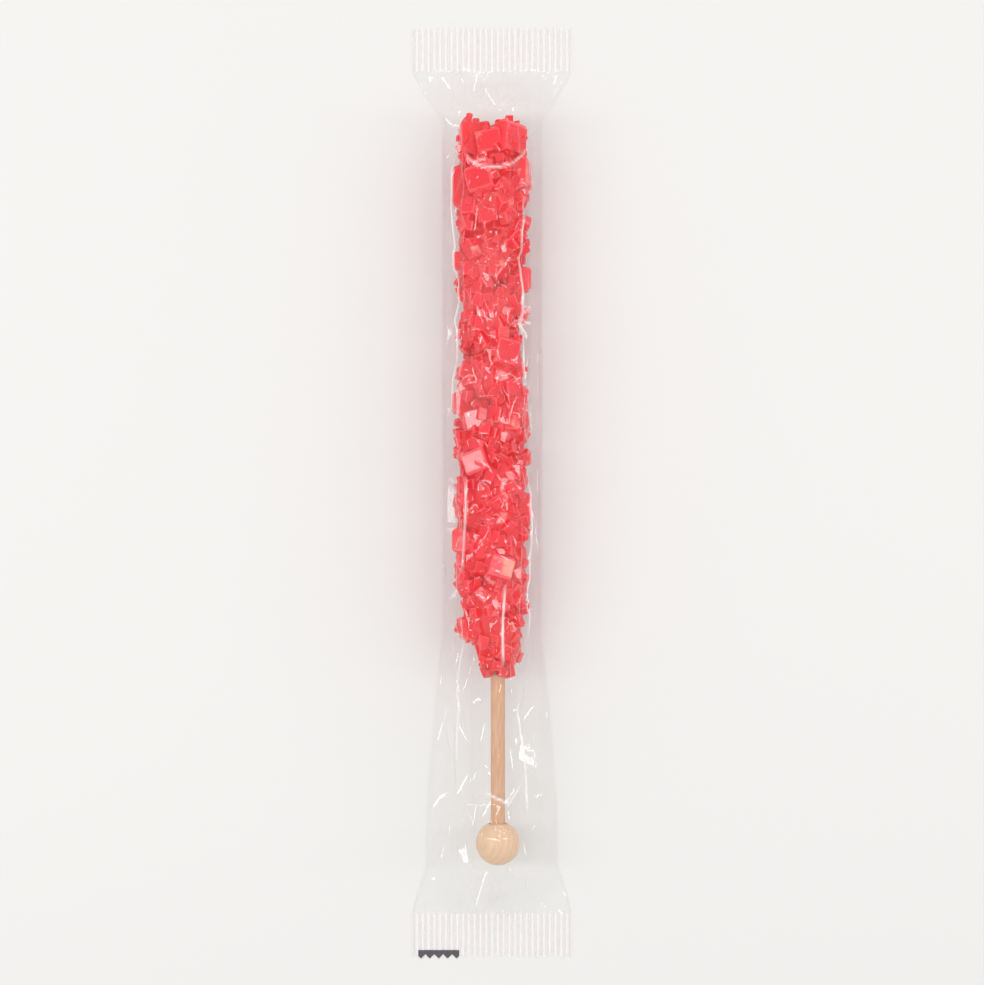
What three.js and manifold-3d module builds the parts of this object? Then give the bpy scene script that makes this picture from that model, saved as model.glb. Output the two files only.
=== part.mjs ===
// A rock candy stick in its clear wrapper: cherry red sugar crystals grown on a wooden dowel
// with a turned ball on its end, sealed in a film sleeve with crimped, pinked ends.
//
// Millimetres. The stick lies along Y on its back, with the ball towards -Y, X across it and Z up.
// The sleeve's flat underside is at Z = 0, and the origin is the middle of that underside.

import * as THREE from "three";
import { mergeVertices } from "three/addons/utils/BufferGeometryUtils.js";
import Module from "manifold-3d";

const wasm = await Module();
wasm.setup();

// Driving dimensions

const gap = 0.3; // room left between neighbouring pieces

const stick = {
  length: 165, // from the candy's tip to the far side of the ball
  ballDiameter: 9.8,
  dowelDiameter: 3.2,
  socketDepth: 5.4, // how far the dowel is glued into the ball
  coverAtTip: 7, // candy beyond the dowel's end
  endChamfer: 0.35,
  offset: 1.3, // the candy has grown thicker on one side, so the dowel is off its middle
};

const candy = {
  length: 122,
  reach: 9.2, // the largest distance of a crystal's corner from the candy's middle line
  crust: 2.2, // depth of the crystals over the solid core
  leastCore: 2.35,
  fullRadius: 6.5, // where the candy is thinner than this, its crystals are smaller
  neckBend: 22, // the last stretch, where the candy's middle line joins the dowel's
  spacing: 4.65, // from one small crystal's middle to the next
  smallest: 3.0,
  largest: 5.6,
  leaning: 0.6, // how far a small crystal may lean from square with the stick, in radians
  tumbled: 0.25, // the share of them that lie any way round
  sunk: 1.3, // how much lower than the crust a small crystal may end
  seed: 7,
};

// How the candy's radius runs, as pairs: distance from the tip, radius there.
const growth = [
  [4, 6.2],
  [8, 8.2],
  [14, 9.1],
  [38, 8.3],
  [50, 8.4],
  [66, 9.1],
  [92, 9.0],
  [108, 8.4],
  [116, 6.6],
  [122, 3.6],
];

// The big crystals that stand out in the outline: distance of the middle from the tip,
// angle round the candy from +X towards +Z in degrees, how far out the furthest corner is,
// size along the stick, across and through, and a turn about the outward direction.
const bigCrystals = [
  { fromTip: 4.5, angle: 177, reach: 9.0, size: [8.9, 6.8, 5.8], turn: 3 },
  { fromTip: 4.7, angle: 74, reach: 7.6, size: [7.8, 6.2, 6.2], turn: -9 },
  { fromTip: 7.4, angle: 272, reach: 8.4, size: [9.0, 7.0, 6.0], turn: 8 },
  { fromTip: 12.6, angle: 10, reach: 9.2, size: [8.4, 6.6, 5.0], turn: -5 },
  { fromTip: 15.7, angle: 180, reach: 9.2, size: [11.0, 5.6, 4.0], turn: 1 },
  { fromTip: 14.0, angle: 112, reach: 8.9, size: [7.4, 6.0, 4.2], turn: 14 },
  { fromTip: 31.6, angle: 178, reach: 9.1, size: [4.8, 4.6, 4.0], turn: -2 },
  { fromTip: 35.5, angle: 352, reach: 8.9, size: [6.4, 4.8, 4.2], turn: 6 },
  { fromTip: 52.0, angle: 64, reach: 8.9, size: [7.2, 5.6, 4.4], turn: -12 },
  { fromTip: 63.0, angle: 170, reach: 9.2, size: [5.6, 5.0, 4.2], turn: 5 },
  { fromTip: 76.0, angle: 118, reach: 9.1, size: [6.6, 5.8, 4.0], turn: 20 },
  { fromTip: 86.0, angle: 357, reach: 9.2, size: [7.0, 5.2, 4.6], turn: -4 },
  { fromTip: 93.5, angle: 183, reach: 9.2, size: [6.4, 5.4, 4.6], turn: 3 },
  { fromTip: 99.0, angle: 75, reach: 9.0, size: [6.2, 5.4, 4.2], turn: -16 },
  { fromTip: 113.0, angle: 172, reach: 8.4, size: [5.6, 4.8, 4.4], turn: 8 },
];

const film = {
  length: 210,
  flatWidth: 36,
  wall: 0.3, // far thicker than real film, so that it is a solid
  crimp: 10, // the sealed band at each end
  shoulder: 11, // the stretch where the film drops from its contents to the crimp
  sag: 1.2, // 1 for a straight drop, more for a hollow one
  endInset: 0.7, // how far the inner space stops short of each end, in walls
  toothPitch: 2,
  toothDepth: 1,
  ventWidth: 4, // the seal's leak, through which the sleeve's inside is open
  sideSteps: 2,
  roundSteps: 12,
  bodyRings: 24,
  shoulderRings: 4,
};

// Places worked out from those

const crimpHeight = 2 * film.wall + gap;
const candyFloor = film.wall + gap;
const axisHeight = candyFloor + candy.reach;
const tipY = stick.length / 2;
const ballY = -stick.length / 2 + stick.ballDiameter / 2;
const neckY = tipY - candy.length;
const dowelStartY = ballY + stick.ballDiameter / 2 - stick.socketDepth;
const dowelEndY = tipY - stick.coverAtTip;
const boreRadius = stick.dowelDiameter / 2 + gap;

// Small helpers

// A seeded random number generator with values from 0 to 1.
function randomFrom(seed) {
  let state = seed;
  return () => {
    state = (state + 0x6d2b79f5) | 0;
    let t = Math.imul(state ^ (state >>> 15), 1 | state);
    t = (t + Math.imul(t ^ (t >>> 7), 61 | t)) ^ t;
    return ((t ^ (t >>> 14)) >>> 0) / 4294967296;
  };
}

// The value at x of a line through the points [x, value].
function along(points, x) {
  const next = points.findIndex(([px]) => px >= x);
  if (next < 0) return points[points.length - 1][1];
  if (next === 0) return points[0][1];
  const [x0, v0] = points[next - 1];
  const [x1, v1] = points[next];
  return v0 + ((v1 - v0) * (x - x0)) / (x1 - x0);
}

// A closed three.js geometry as a solid that can be cut and joined.
function solidOf(geometry) {
  const bare = geometry.index ? geometry.toNonIndexed() : geometry.clone();
  bare.deleteAttribute("normal");
  bare.deleteAttribute("uv");
  const merged = mergeVertices(bare, 1e-4);
  return new wasm.Manifold(
    new wasm.Mesh({
      numProp: 3,
      vertProperties: new Float32Array(merged.attributes.position.array),
      triVerts: new Uint32Array(merged.index.array),
    }),
  );
}

// A solid as a flat-shaded three.js geometry.
function geometryOf(solid) {
  const { vertProperties, triVerts } = solid.getMesh();
  const geometry = new THREE.BufferGeometry();
  geometry.setAttribute("position", new THREE.BufferAttribute(vertProperties, 3));
  geometry.setIndex(new THREE.BufferAttribute(triVerts, 1));
  const flat = geometry.toNonIndexed();
  flat.computeVertexNormals();
  return flat;
}

function placed(geometry, x, y, z) {
  geometry.translate(x, y, z);
  return geometry;
}

// Wooden ball and dowel

function ballGeometry() {
  const radius = stick.ballDiameter / 2;
  const steps = 13;
  const lipAngle = Math.asin(boreRadius / radius);
  const floorY = radius - stick.socketDepth - gap;
  const profile = [];
  for (let i = 0; i <= steps; i++) {
    const angle = (Math.PI - lipAngle) * (i / steps);
    profile.push(new THREE.Vector2(radius * Math.sin(angle), -radius * Math.cos(angle)));
  }
  profile[0].x = 0;
  profile.push(new THREE.Vector2(boreRadius, floorY), new THREE.Vector2(0, floorY));
  return placed(new THREE.LatheGeometry(profile, 24), stick.offset, ballY, axisHeight);
}

function dowelGeometry() {
  const radius = stick.dowelDiameter / 2;
  const chamfer = stick.endChamfer;
  const profile = [
    [0, dowelStartY],
    [radius - chamfer, dowelStartY],
    [radius, dowelStartY + chamfer],
    [radius, dowelEndY - chamfer],
    [radius - chamfer, dowelEndY],
    [0, dowelEndY],
  ].map(([x, y]) => new THREE.Vector2(x, y));
  return placed(new THREE.LatheGeometry(profile, 24), stick.offset, 0, axisHeight);
}

// Sugar crystals

// How far the candy's middle line has moved over to the dowel's, at a distance from the tip.
function middleX(fromTip) {
  const t = (fromTip - (candy.length - candy.neckBend)) / candy.neckBend;
  return stick.offset * THREE.MathUtils.smoothstep(t, 0, 1);
}

function crustRadius(fromTip, angle) {
  const swell = 0.35 * Math.sin(2 * angle + fromTip * 0.09) + 0.3 * Math.sin(fromTip * 0.31 + angle);
  return Math.min(along(growth, fromTip) + swell, candy.reach);
}

// The solid middle of the candy, under its crystals.
function coreSolid() {
  const stations = 13;
  const start = growth[0][0];
  const profile = [new THREE.Vector2(0, tipY - start)];
  for (let i = 0; i <= stations; i++) {
    const fromTip = start + ((candy.length - start) * i) / stations;
    const radius = Math.max(along(growth, fromTip) - candy.crust, candy.leastCore);
    profile.push(new THREE.Vector2(radius, tipY - fromTip));
  }
  profile.push(new THREE.Vector2(0, neckY));
  profile.reverse();
  const core = new THREE.LatheGeometry(profile, 10);
  const position = core.attributes.position;
  for (let i = 0; i < position.count; i++) {
    position.setX(i, position.getX(i) + middleX(tipY - position.getY(i)));
  }
  return solidOf(placed(core, 0, 0, axisHeight));
}

// A sugar crystal: a block extruded from a leaning outline of four corners, or of six
// where its slanted ends are bevelled as well.
function crystalGeometry(length, width, thickness, lean, bevelled) {
  const l = length / 2;
  const t = thickness / 2;
  const corners = [
    [-l + lean, -t],
    [l - (bevelled ? lean * 0.4 : 0), -t],
    [l, -t * 0.35],
    [l - lean, t],
    [-l + (bevelled ? lean * 0.4 : 0), t],
    [-l, t * 0.35],
  ];
  const kept = corners.filter((corner, i) => bevelled || i % 3 !== 2);
  const outline = new THREE.Shape(kept.map(([x, y]) => new THREE.Vector2(x, y)));
  const block = new THREE.ExtrudeGeometry(outline, { depth: width, bevelEnabled: false });
  block.translate(0, 0, -width / 2);
  return block;
}

// The turn of a crystal that lies on the crust with its length along the stick, leaning by
// three small angles: round the stick, about the outward direction, and along the stick.
function lyingTurn(angle, roundStick, aboutOutward, alongStick) {
  return new THREE.Matrix4()
    .makeRotationY(roundStick - angle)
    .multiply(new THREE.Matrix4().makeRotationX(aboutOutward))
    .multiply(new THREE.Matrix4().makeRotationZ(Math.PI / 2 + alongStick));
}

// Turns a crystal about its own middle and sets it on the crust at that place,
// as far out as leaves its furthest corner at the given reach.
function setOnCrust(block, turn, fromTip, angle, reach) {
  block.applyMatrix4(turn);
  const outward = new THREE.Vector3(Math.cos(angle), 0, Math.sin(angle));
  const middle = outward.clone().multiplyScalar(reach * 0.7);
  const corner = new THREE.Vector3();
  const position = block.attributes.position;
  for (let pass = 0; pass < 3; pass++) {
    let furthest = 0;
    for (let i = 0; i < position.count; i++) {
      corner.fromBufferAttribute(position, i).add(middle);
      furthest = Math.max(furthest, Math.hypot(corner.x, corner.z));
    }
    middle.addScaledVector(outward, reach - furthest);
  }
  return placed(block, middle.x + middleX(fromTip), tipY - fromTip, middle.z + axisHeight);
}

// The many small crystals, spread evenly over the crust along a spiral.
function smallCrystals() {
  const random = randomFrom(candy.seed);
  const spread = (range) => range * (2 * random() - 1);
  const goldenAngle = Math.PI * (3 - Math.sqrt(5));
  const solids = [];
  let fromTip = growth[0][0] + 1;
  for (let i = 0; fromTip < candy.length - 1.4; i++) {
    const angle = i * goldenAngle + spread(0.25);
    const radius = crustRadius(fromTip, angle);
    const fit = Math.min(1, radius / candy.fullRadius);
    const length = fit * THREE.MathUtils.lerp(candy.smallest, candy.largest, random() ** 1.7);
    const width = length * (0.62 + 0.3 * random());
    const thickness = length * (0.55 + 0.3 * random());
    const block = crystalGeometry(length, width, thickness, length * (0.1 + 0.14 * random()), false);
    const lean = random() < candy.tumbled ? Math.PI : candy.leaning;
    const turn = lyingTurn(angle, spread(lean), spread(lean), spread(lean));
    const depth = candy.sunk * random() ** 1.5 * fit;
    solids.push(solidOf(setOnCrust(block, turn, fromTip, angle, radius - depth)));
    fromTip += (fit * candy.spacing) ** 2 / (2 * Math.PI * radius);
  }
  return solids;
}

function leadingCrystals() {
  return bigCrystals.map(({ fromTip, angle, reach, size, turn }) => {
    const [length, width, thickness] = size;
    const block = crystalGeometry(length, width, thickness, length * 0.2, true);
    const around = THREE.MathUtils.degToRad(angle);
    const lying = lyingTurn(around, 0, THREE.MathUtils.degToRad(turn), 0);
    return solidOf(setOnCrust(block, lying, fromTip, around, reach));
  });
}

function candyGeometry() {
  const grown = wasm.Manifold.union([coreSolid(), ...leadingCrystals(), ...smallCrystals()]);
  const boreLength = dowelEndY + gap - neckY + 10;
  const bore = placed(
    new THREE.CylinderGeometry(boreRadius, boreRadius, boreLength, 16),
    stick.offset,
    dowelEndY + gap - boreLength / 2,
    axisHeight,
  );
  const bored = grown.subtract(solidOf(bore)).simplify(0.02);
  // A crystal that meets no other would fall off, so only the joined mass is kept.
  const [whole] = bored.decompose().sort((a, b) => b.volume() - a.volume());
  return geometryOf(whole);
}

// Film sleeve

// The round that the film lies over along the stick: its top, radius and place across.
const clearance = gap + film.wall;
const overBall = {
  top: axisHeight + stick.ballDiameter / 2 + clearance,
  radius: stick.ballDiameter / 2 + 2 * clearance,
  x: stick.offset,
};
const overCandy = { top: axisHeight + candy.reach + clearance, radius: candy.reach + clearance, x: 0 };
const sealY = film.length / 2 - film.crimp;
const bodyY = sealY - film.shoulder;
const rounds = [
  [-bodyY, overBall],
  [ballY + stick.ballDiameter / 2, overBall],
  [neckY + 6, overCandy],
  [bodyY, overCandy],
];

function roundAt(y) {
  const round = {};
  for (const key of ["top", "radius", "x"]) {
    round[key] = along(
      rounds.map(([station, shape]) => [station, shape[key]]),
      y,
    );
  }
  return round;
}

function between(from, to, steps, pointAt) {
  return Array.from({ length: steps }, (_, i) => pointAt(from + ((to - from) * i) / steps));
}

// The film's upper side across Y, from its right edge to its left: straight up from each
// edge to where it touches the round, and over that.
function upperLine(halfBase, round, inset) {
  const radius = round.radius - inset;
  const centreZ = round.top - round.radius;
  const edgeZ = crimpHeight - inset;
  const touchAngle = (side) => {
    const edgeX = halfBase - inset - side * round.x;
    const away = Math.acos(radius / Math.hypot(edgeX, edgeZ - centreZ));
    return Math.atan2(edgeZ - centreZ, edgeX) + away;
  };
  const onRound = (angle) => [round.x + radius * Math.cos(angle), centreZ + radius * Math.sin(angle)];
  const right = [halfBase - inset, edgeZ];
  const left = [inset - halfBase, edgeZ];
  const fromAngle = touchAngle(1);
  const toAngle = Math.PI - touchAngle(-1);
  const onLine = (from, to) => (t) => [from[0] + (to[0] - from[0]) * t, from[1] + (to[1] - from[1]) * t];
  return [
    ...between(0, 1, film.sideSteps, onLine(right, onRound(fromAngle))),
    ...between(fromAngle, toAngle, film.roundSteps, onRound),
    ...between(0, 1, film.sideSteps, onLine(onRound(toAngle), left)),
    left,
  ];
}

function closedOutline(line, inset) {
  return [[line[line.length - 1][0], inset], [line[0][0], inset], ...line];
}

function lineLength(points) {
  return points.slice(1).reduce((sum, [x, z], i) => sum + Math.hypot(x - points[i][0], z - points[i][1]), 0);
}

// Film doesn't stretch, so the sleeve's girth is the same all along: where it climbs over
// its contents its flat base is narrower.
function halfBaseFor(round) {
  const girth = 2 * film.flatWidth;
  let low = round.radius + Math.abs(round.x);
  let high = film.flatWidth / 2;
  for (let i = 0; i < 40; i++) {
    const middle = (low + high) / 2;
    if (lineLength(upperLine(middle, round, 0)) + 2 * middle > girth) high = middle;
    else low = middle;
  }
  return high;
}

// The same upper side pressed flat in the crimp, each point at its place along the film.
function pressedLine(line, inset) {
  const whole = lineLength(line);
  const half = film.flatWidth / 2 - inset;
  return line.map((point, i) => {
    const share = lineLength(line.slice(0, i + 1)) / whole;
    return [half * (1 - 2 * share), crimpHeight - inset];
  });
}

// Where the shoulder of the sleeve meets the crimp, on a surface set in from the sleeve's own.
function shoulderEnd(inset) {
  return sealY - film.endInset * inset;
}

// The outline of the sleeve at y, set in from its surface.
function outlineAt(y, inset) {
  const round = roundAt(THREE.MathUtils.clamp(y, -bodyY, bodyY));
  const raised = upperLine(halfBaseFor(round), round, inset);
  const pressed = pressedLine(raised, inset);
  const drop = THREE.MathUtils.clamp((shoulderEnd(inset) - Math.abs(y)) / film.shoulder, 0, 1);
  const share = drop ** film.sag;
  const line = raised.map(([x, z], i) => [
    THREE.MathUtils.lerp(pressed[i][0], x, share),
    THREE.MathUtils.lerp(pressed[i][1], z, share),
  ]);
  return closedOutline(line, inset);
}

// The space inside the film's surface between the two ends given, set in from it.
function sleeveSolid(endY, inset) {
  const outer = shoulderEnd(inset);
  const inner = outer - film.shoulder;
  const ys = [
    ...between(-outer, -inner, film.shoulderRings, (y) => y),
    ...between(-inner, inner, film.bodyRings, (y) => y),
    ...between(inner, outer, film.shoulderRings, (y) => y),
    outer,
  ];
  if (endY > sealY) {
    ys.unshift(-endY);
    ys.push(endY);
  }
  const rings = ys.map((y) => outlineAt(y, inset));
  const size = rings[0].length;
  const positions = rings.flatMap((ring, i) => ring.flatMap(([x, z]) => [x, ys[i], z]));
  const faces = [];
  for (let i = 0; i + 1 < ys.length; i++) {
    for (let k = 0; k < size; k++) {
      const a = i * size + k;
      const b = i * size + ((k + 1) % size);
      faces.push(a, a + size, b, b, a + size, b + size);
    }
  }
  const last = (ys.length - 1) * size;
  for (let k = 1; k + 1 < size; k++) {
    faces.push(0, k, k + 1, last, last + k + 1, last + k);
  }
  const geometry = new THREE.BufferGeometry();
  geometry.setAttribute("position", new THREE.Float32BufferAttribute(positions, 3));
  geometry.setIndex(faces);
  return solidOf(geometry);
}

// What the pinking cut takes from one end of the sleeve, so that a zigzag edge is left.
function pinkingCut(end) {
  const beyond = 2 * film.toothDepth;
  const halfTeeth = 2 * Math.round(film.flatWidth / film.toothPitch) + 4;
  const startX = (-halfTeeth * film.toothPitch) / 4;
  const edgeY = film.length / 2;
  const outline = [new THREE.Vector2(startX, edgeY + beyond)];
  for (let i = 0; i <= halfTeeth; i++) {
    const x = startX + (i * film.toothPitch) / 2;
    outline.push(new THREE.Vector2(x, i % 2 ? edgeY : edgeY - film.toothDepth));
  }
  outline.push(new THREE.Vector2(-startX, edgeY + beyond));
  const cut = new THREE.ExtrudeGeometry(new THREE.Shape(outline.reverse()), {
    depth: crimpHeight + 2 * gap,
    bevelEnabled: false,
  });
  cut.translate(0, 0, -gap);
  if (end < 0) cut.rotateZ(Math.PI);
  return solidOf(cut);
}

function wrapperGeometry() {
  const vent = placed(
    new THREE.BoxGeometry(film.ventWidth, film.crimp + 2, gap),
    0,
    sealY + film.crimp / 2,
    crimpHeight / 2,
  );
  const wrapper = sleeveSolid(film.length / 2, 0)
    .subtract(sleeveSolid(sealY, film.wall))
    .subtract(solidOf(vent))
    .subtract(pinkingCut(1))
    .subtract(pinkingCut(-1));
  return geometryOf(wrapper.simplify(0.01));
}

// The model

const materials = {
  wood: new THREE.MeshStandardMaterial({ color: 0xe8c9a0, roughness: 0.55, metalness: 0 }),
  sugar: new THREE.MeshStandardMaterial({
    color: 0xe8394c,
    roughness: 0.18,
    metalness: 0,
    transparent: true,
    opacity: 0.9,
    flatShading: true,
  }),
  film: new THREE.MeshStandardMaterial({
    color: 0xf6f6f8,
    roughness: 0.08,
    metalness: 0,
    transparent: true,
    opacity: 0.22,
    flatShading: true,
  }),
};

function piece(name, geometry, material) {
  const mesh = new THREE.Mesh(geometry, material);
  mesh.name = name;
  return mesh;
}

const rockCandyStick = new THREE.Group();
rockCandyStick.add(
  piece("ball", ballGeometry(), materials.wood),
  piece("dowel", dowelGeometry(), materials.wood),
  piece("candy", candyGeometry(), materials.sugar),
  piece("wrapper", wrapperGeometry(), materials.film),
);

export default rockCandyStick;
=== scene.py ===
import math

import bmesh
import bpy
from mathutils import Matrix, Vector
from mathutils.bvhtree import BVHTree
from mathutils.geometry import delaunay_2d_cdt


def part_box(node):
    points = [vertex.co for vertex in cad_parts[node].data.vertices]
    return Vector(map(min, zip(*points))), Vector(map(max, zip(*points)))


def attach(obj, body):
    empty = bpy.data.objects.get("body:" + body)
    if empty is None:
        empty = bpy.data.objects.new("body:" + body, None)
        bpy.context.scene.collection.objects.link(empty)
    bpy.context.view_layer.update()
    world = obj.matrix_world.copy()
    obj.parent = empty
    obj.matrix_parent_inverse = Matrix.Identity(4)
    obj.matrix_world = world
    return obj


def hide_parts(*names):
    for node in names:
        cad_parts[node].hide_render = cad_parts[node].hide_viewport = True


# A wrapped rock candy stick. Everything is in metres, in the model's own frame:
# the stick lies along Y with its ball towards -Y, and Z is up out of the shown side.

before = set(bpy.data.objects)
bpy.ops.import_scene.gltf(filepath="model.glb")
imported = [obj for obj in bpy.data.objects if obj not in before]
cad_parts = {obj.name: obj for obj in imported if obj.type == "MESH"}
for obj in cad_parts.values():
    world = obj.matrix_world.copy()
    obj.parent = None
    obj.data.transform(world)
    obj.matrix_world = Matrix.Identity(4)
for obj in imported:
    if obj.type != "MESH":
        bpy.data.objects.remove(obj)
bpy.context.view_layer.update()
mm = 0.001
goldenAngle = math.pi * (3 - math.sqrt(5))  # spreads points evenly round a stick


def linearColour(hexCode):
    channels = [int(hexCode[i:i + 2], 16) / 255 for i in (1, 3, 5)]
    linear = [c / 12.92 if c <= 0.04045 else ((c + 0.055) / 1.055) ** 2.4 for c in channels]
    return (*linear, 1.0)


def addNode(tree, kind, inputs=None, **settings):
    # one node, with its settings, its plain values and its links
    node = tree.nodes.new(kind)
    for name, value in settings.items():
        setattr(node, name, value)
    for key, value in (inputs or {}).items():
        if isinstance(value, bpy.types.NodeSocket):
            tree.links.new(value, node.inputs[key])
        else:
            node.inputs[key].default_value = value
    return node


def newMaterial(name):
    material = bpy.data.materials.new(name)
    material.use_nodes = True
    material.node_tree.nodes.clear()
    return material, material.node_tree


def newObject(name, mesh):
    piece = bpy.data.objects.new(name, mesh)
    bpy.context.scene.collection.objects.link(piece)
    return piece


def meshFrom(name, vertices, faces):
    mesh = bpy.data.meshes.new(name)
    mesh.from_pydata(vertices, [], faces)
    mesh.update()
    return mesh


def along(points, x):
    # the value at x of a line through the points (x, value)
    if x <= points[0][0]:
        return points[0][1]
    for (x0, v0), (x1, v1) in zip(points, points[1:]):
        if x <= x1:
            return v0 + (v1 - v0) * (x - x0) / (x1 - x0)
    return points[-1][1]


def seededDraw(seed):
    # numbers from 0 to 1, the same ones on every run
    state = seed
    word = 0xFFFFFFFF

    def draw():
        nonlocal state
        state = (state + 0x6D2B79F5) & word
        t = ((state ^ (state >> 15)) * (1 | state)) & word
        t = ((t + (((t ^ (t >> 7)) * (61 | t)) & word)) ^ t) & word
        return ((t ^ (t >> 14)) & word) / 4294967296

    return draw


# Where the stick lies, read off the frame's own pieces

stickMm = 165  # from the tip of the candy to the end of the ball
candyMm = 122  # from the tip to the neck, where the bare dowel starts
ballLow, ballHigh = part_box("ball")
dowelLow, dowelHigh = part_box("dowel")
ballDiameter = ballHigh.x - ballLow.x
dowelRadius = (dowelHigh.x - dowelLow.x) / 2
dowelX = (dowelLow.x + dowelHigh.x) / 2
axisZ = (dowelLow.z + dowelHigh.z) / 2
ballY = ballLow.y + ballDiameter / 2
gap = 0.3 * mm  # between the dowel and what sits on it
tipY = ballLow.y + stickMm * mm
neckY = tipY - candyMm * mm
boreRadius = dowelRadius + gap

# Sugar crystals

candy = {
    "reachMm": 9.2,  # furthest corner of any crystal from the middle line
    "crustMm": 2.2,  # of crystals over the solid core
    "leastCoreMm": 2.35,
    "fullRadiusMm": 6.5,  # a thinner candy has smaller crystals
    "neckBendMm": 22,  # the candy's middle comes over to the dowel's along this length
    "spacingMm": 4.65,
    "smallestMm": 3.0,
    "largestMm": 5.6,
    "leaning": 0.6,  # in radians
    "tumbled": 0.25,  # share of the crystals that lie any way round
    "sunkMm": 1.3,
    "notchMm": 2.2,  # depth of the hollows in the candy's outline
    "seed": 7,
    "edgeBevel": 0.075,  # of a crystal's size, so about 0.3 mm on a 4 mm crystal
    "fineSpacingMm": 2.9,
    "fineSmallestMm": 1.1,
    "fineLargestMm": 3.0,
    "fineLeaning": 0.4,
    "fineOnTip": 24,
    "fineOnNeck": 10,
    "paintedDeepRedMm": (5.0, 8.6),  # from the middle line: all painted deep red, and none of it; painted shade for the hollows and thick sugar
    # painted glow: how far towards pale pink the bevelled edges are painted
    "rimPaintedGlow": 0.28,
}

# Distance from the tip and the candy's radius there, in mm
growth = [
    (4, 6.2),
    (8, 8.2),
    (14, 9.1),
    (38, 8.3),
    (50, 8.4),
    (66, 9.1),
    (92, 9.0),
    (108, 8.4),
    (116, 6.6),
    (candyMm, 3.6),
]

# The crystals that stand out: distance from the tip, degrees round the candy, reach,
# size along, across and through in mm, and a turn in degrees
bigCrystals = [
    (4.5, 174, 8.1, (8.9, 6.8, 5.8), 3),
    (4.9, 38, 8.3, (8.4, 7.4, 6.0), -7),
    (5.6, 96, 7.2, (6.4, 5.6, 4.6), 12),
    (7.4, 272, 8.4, (9.0, 7.0, 6.0), 8),
    (12.6, 10, 9.2, (8.4, 6.6, 5.0), -5),
    (15.7, 180, 9.2, (11.0, 5.6, 4.0), 1),
    (14.0, 112, 8.9, (7.4, 6.0, 4.2), 14),
    (31.6, 178, 9.1, (4.8, 4.6, 4.0), -2),
    (35.5, 352, 8.9, (6.4, 4.8, 4.2), 6),
    (52.0, 64, 8.9, (7.2, 5.6, 4.4), -12),
    (63.0, 170, 9.2, (5.6, 5.0, 4.2), 5),
    (76.0, 118, 9.1, (6.6, 5.8, 4.0), 20),
    (86.0, 357, 9.2, (7.0, 5.2, 4.6), -4),
    (93.5, 183, 9.2, (6.4, 5.4, 4.6), 3),
    (99.0, 75, 9.0, (6.2, 5.4, 4.2), -16),
    (113.0, 172, 8.4, (5.6, 4.8, 4.4), 8),
]

# Block forms: how far each leans, its count of outline corners, and how much of a corner is off
blockForms = [(0.11, 4, 0.0), (0.15, 4, 0.22), (0.19, 4, 0.0), (0.23, 4, 0.3), (0.2, 6, 0.0)]


def middleX(fromTip):
    # the candy's middle line joins the dowel's towards the neck
    t = (fromTip - (candyMm - candy["neckBendMm"])) / candy["neckBendMm"]
    t = min(max(t, 0), 1)
    return dowelX / mm * t * t * (3 - 2 * t)


def crustRadius(fromTip, angle):
    # the crust swells and has notches, deeper ones where the candy is thick
    swell = 0.35 * math.sin(2 * angle + fromTip * 0.09) + 0.3 * math.sin(fromTip * 0.31 + angle)
    radius = min(along(growth, fromTip) + swell, candy["reachMm"])
    wave = math.sin(0.5 * fromTip - angle + 3.28) + 0.6 * math.sin(0.17 * fromTip + 2 * angle)
    notch = candy["notchMm"] * min(max((wave - 0.25) / 1.1, 0), 1)
    return radius - notch * min(max((radius - 5) / 3, 0), 1)


def sugarBlock(name, lean, corners, cornerCut):
    # a crystal one unit long, across and through, with slanted ends and bevelled edges
    outline = [
        (-0.5 + lean, -0.5),
        (0.5 - (lean * 0.4 if corners == 6 else 0), -0.5),
        (0.5, -0.175),
        (0.5 - lean, 0.5),
        (-0.5 + (lean * 0.4 if corners == 6 else 0), 0.5),
        (-0.5, 0.175),
    ]
    if corners == 4:
        outline = [outline[i] for i in (0, 1, 3, 4)]
    bm = bmesh.new()
    base = bm.faces.new([bm.verts.new((x, y, -0.5)) for x, y in outline])
    top = bmesh.ops.extrude_face_region(bm, geom=[base])
    raised = [v for v in top["geom"] if isinstance(v, bmesh.types.BMVert)]
    bmesh.ops.translate(bm, verts=raised, vec=(0, 0, 1))
    if cornerCut:
        away = Vector((1, 1, 1)).normalized()
        cut = bmesh.ops.bisect_plane(
            bm,
            geom=bm.verts[:] + bm.edges[:] + bm.faces[:],
            plane_co=away * (0.5 * math.sqrt(3) - cornerCut),
            plane_no=away,
            clear_outer=True,
        )
        cutEdges = [e for e in cut["geom_cut"] if isinstance(e, bmesh.types.BMEdge)]
        bmesh.ops.edgeloop_fill(bm, edges=cutEdges)
    # the bevel faces are marked, and the sugar material paints them paler as a painted glow
    rim = bm.faces.layers.float.new("rim")
    bevelled = bmesh.ops.bevel(
        bm,
        geom=bm.edges[:],
        offset=candy["edgeBevel"],
        segments=1,
        affect="EDGES",
    )
    for face in bevelled["faces"]:
        face[rim] = 1.0
    bmesh.ops.recalc_face_normals(bm, faces=bm.faces)
    mesh = bpy.data.meshes.new(name)
    bm.to_mesh(mesh)
    bm.free()
    return mesh


def lyingTurn(angle, roundStick, aboutOutward, alongStick):
    return (
        Matrix.Rotation(roundStick - angle, 3, "Y")
        @ Matrix.Rotation(aboutOutward, 3, "X")
        @ Matrix.Rotation(math.pi / 2 + alongStick, 3, "Z")
    )


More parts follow.
